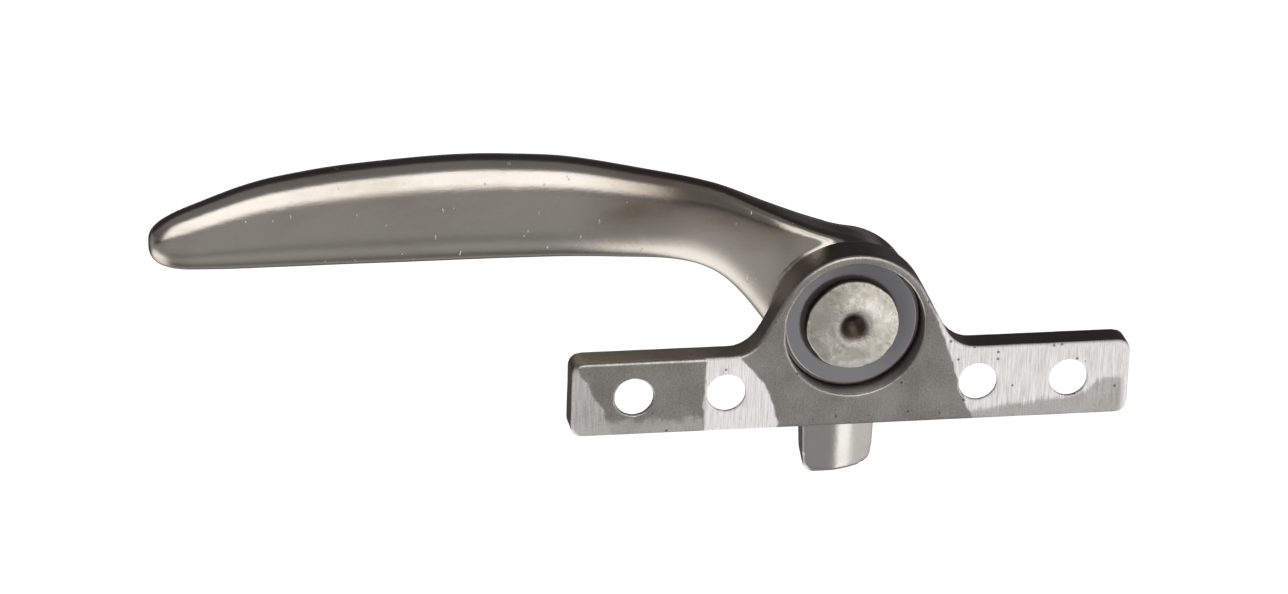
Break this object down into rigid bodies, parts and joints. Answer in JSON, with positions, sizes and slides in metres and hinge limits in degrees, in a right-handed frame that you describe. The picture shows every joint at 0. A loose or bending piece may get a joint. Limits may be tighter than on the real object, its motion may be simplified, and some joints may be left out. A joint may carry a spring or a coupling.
{
  "type": "cockspur window handle",
  "caption": "Cast metal cockspur handle: a curved lever with a nose, riveted through a slim screw-on plate with a spring-washered pivot.",
  "frame": {"origin": "centre of the four screw holes, on the plate's mounting face", "axes": "+Y is the mounting face's outward normal, into the window sash; +X runs along the plate towards the lever's tip in the locked position; +Z is across the plate towards the pivot"},
  "size_m": [0.1325, 0.0275, 0.0419],
  "materials": {
    "plate_metal": "ground, stained, satin",
    "lever_metal": "worn satin polish",
    "stud_metal": "hammered",
    "spring_steel": "blue-grey, dull",
    "washer_plastic": "matte"
  },
  "bodies": {
    "base": {"mounting_plate": "plate_metal", "disc_spring": "spring_steel", "thrust_washer": "washer_plastic"},
    "handle": {"lever": "lever_metal", "pivot_stud": "stud_metal"}
  },
  "joints": [
    {"name": "handle_turn", "type": "hinge", "parent": "base", "child": "handle", "pos_m": [0, -0.003, 0.0085], "axis": [0, -1, 0], "range_deg": [0, 90]}
  ]
}
